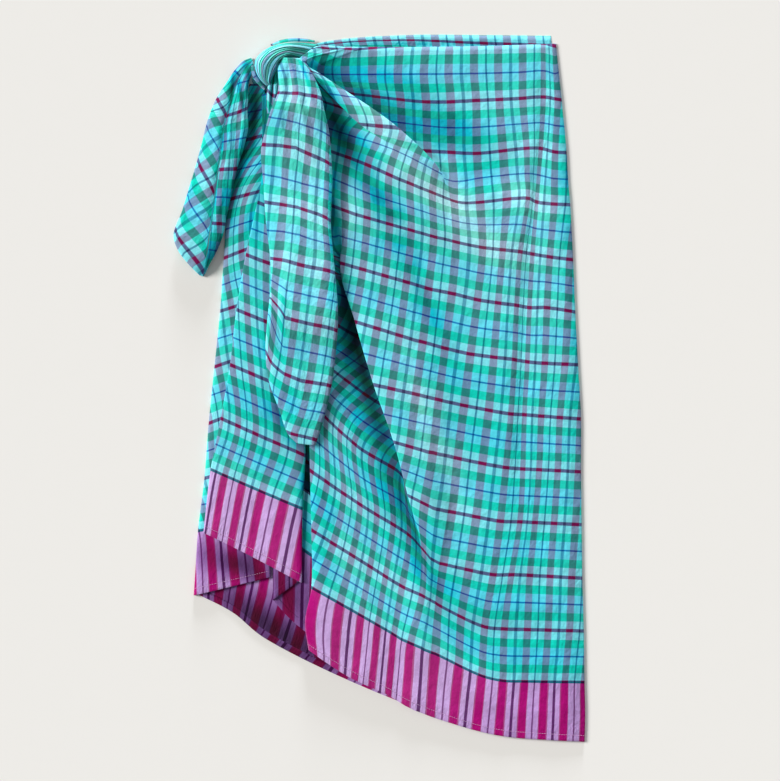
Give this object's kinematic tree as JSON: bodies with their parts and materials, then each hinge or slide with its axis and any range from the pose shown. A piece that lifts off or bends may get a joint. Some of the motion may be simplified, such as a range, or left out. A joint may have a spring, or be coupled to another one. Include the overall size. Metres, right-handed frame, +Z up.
{
  "type": "longyi sarong laid flat",
  "caption": "Checked cotton sarong laid flat, wrapped round once and tied in a side knot with two hanging tails, with a striped border along the hem.",
  "frame": {"origin": "centre of the laid garment's outline, on the surface it lies on", "axes": "+Z up out of the surface, +Y toward the waist edge, +X toward the side away from the knot"},
  "size_m": [0.5772, 0.9906, 0.035],
  "materials": {
    "checked_cotton": "matte plain weave cotton, teal and aqua check with maroon and blue lines",
    "striped_border": "matte plain weave cotton, magenta and lilac stripes"
  },
  "bodies": {
    "root": {"back_panel": "checked_cotton", "front_panel": "checked_cotton", "side_wrap": "checked_cotton", "front_left_panel": "checked_cotton", "tucked_fold": "striped_border", "knot_wrap": "checked_cotton", "knot_strand": "checked_cotton", "waist_roll": "checked_cotton", "tail_long": "checked_cotton", "tail_short": "checked_cotton"}
  },
  "joints": []
}
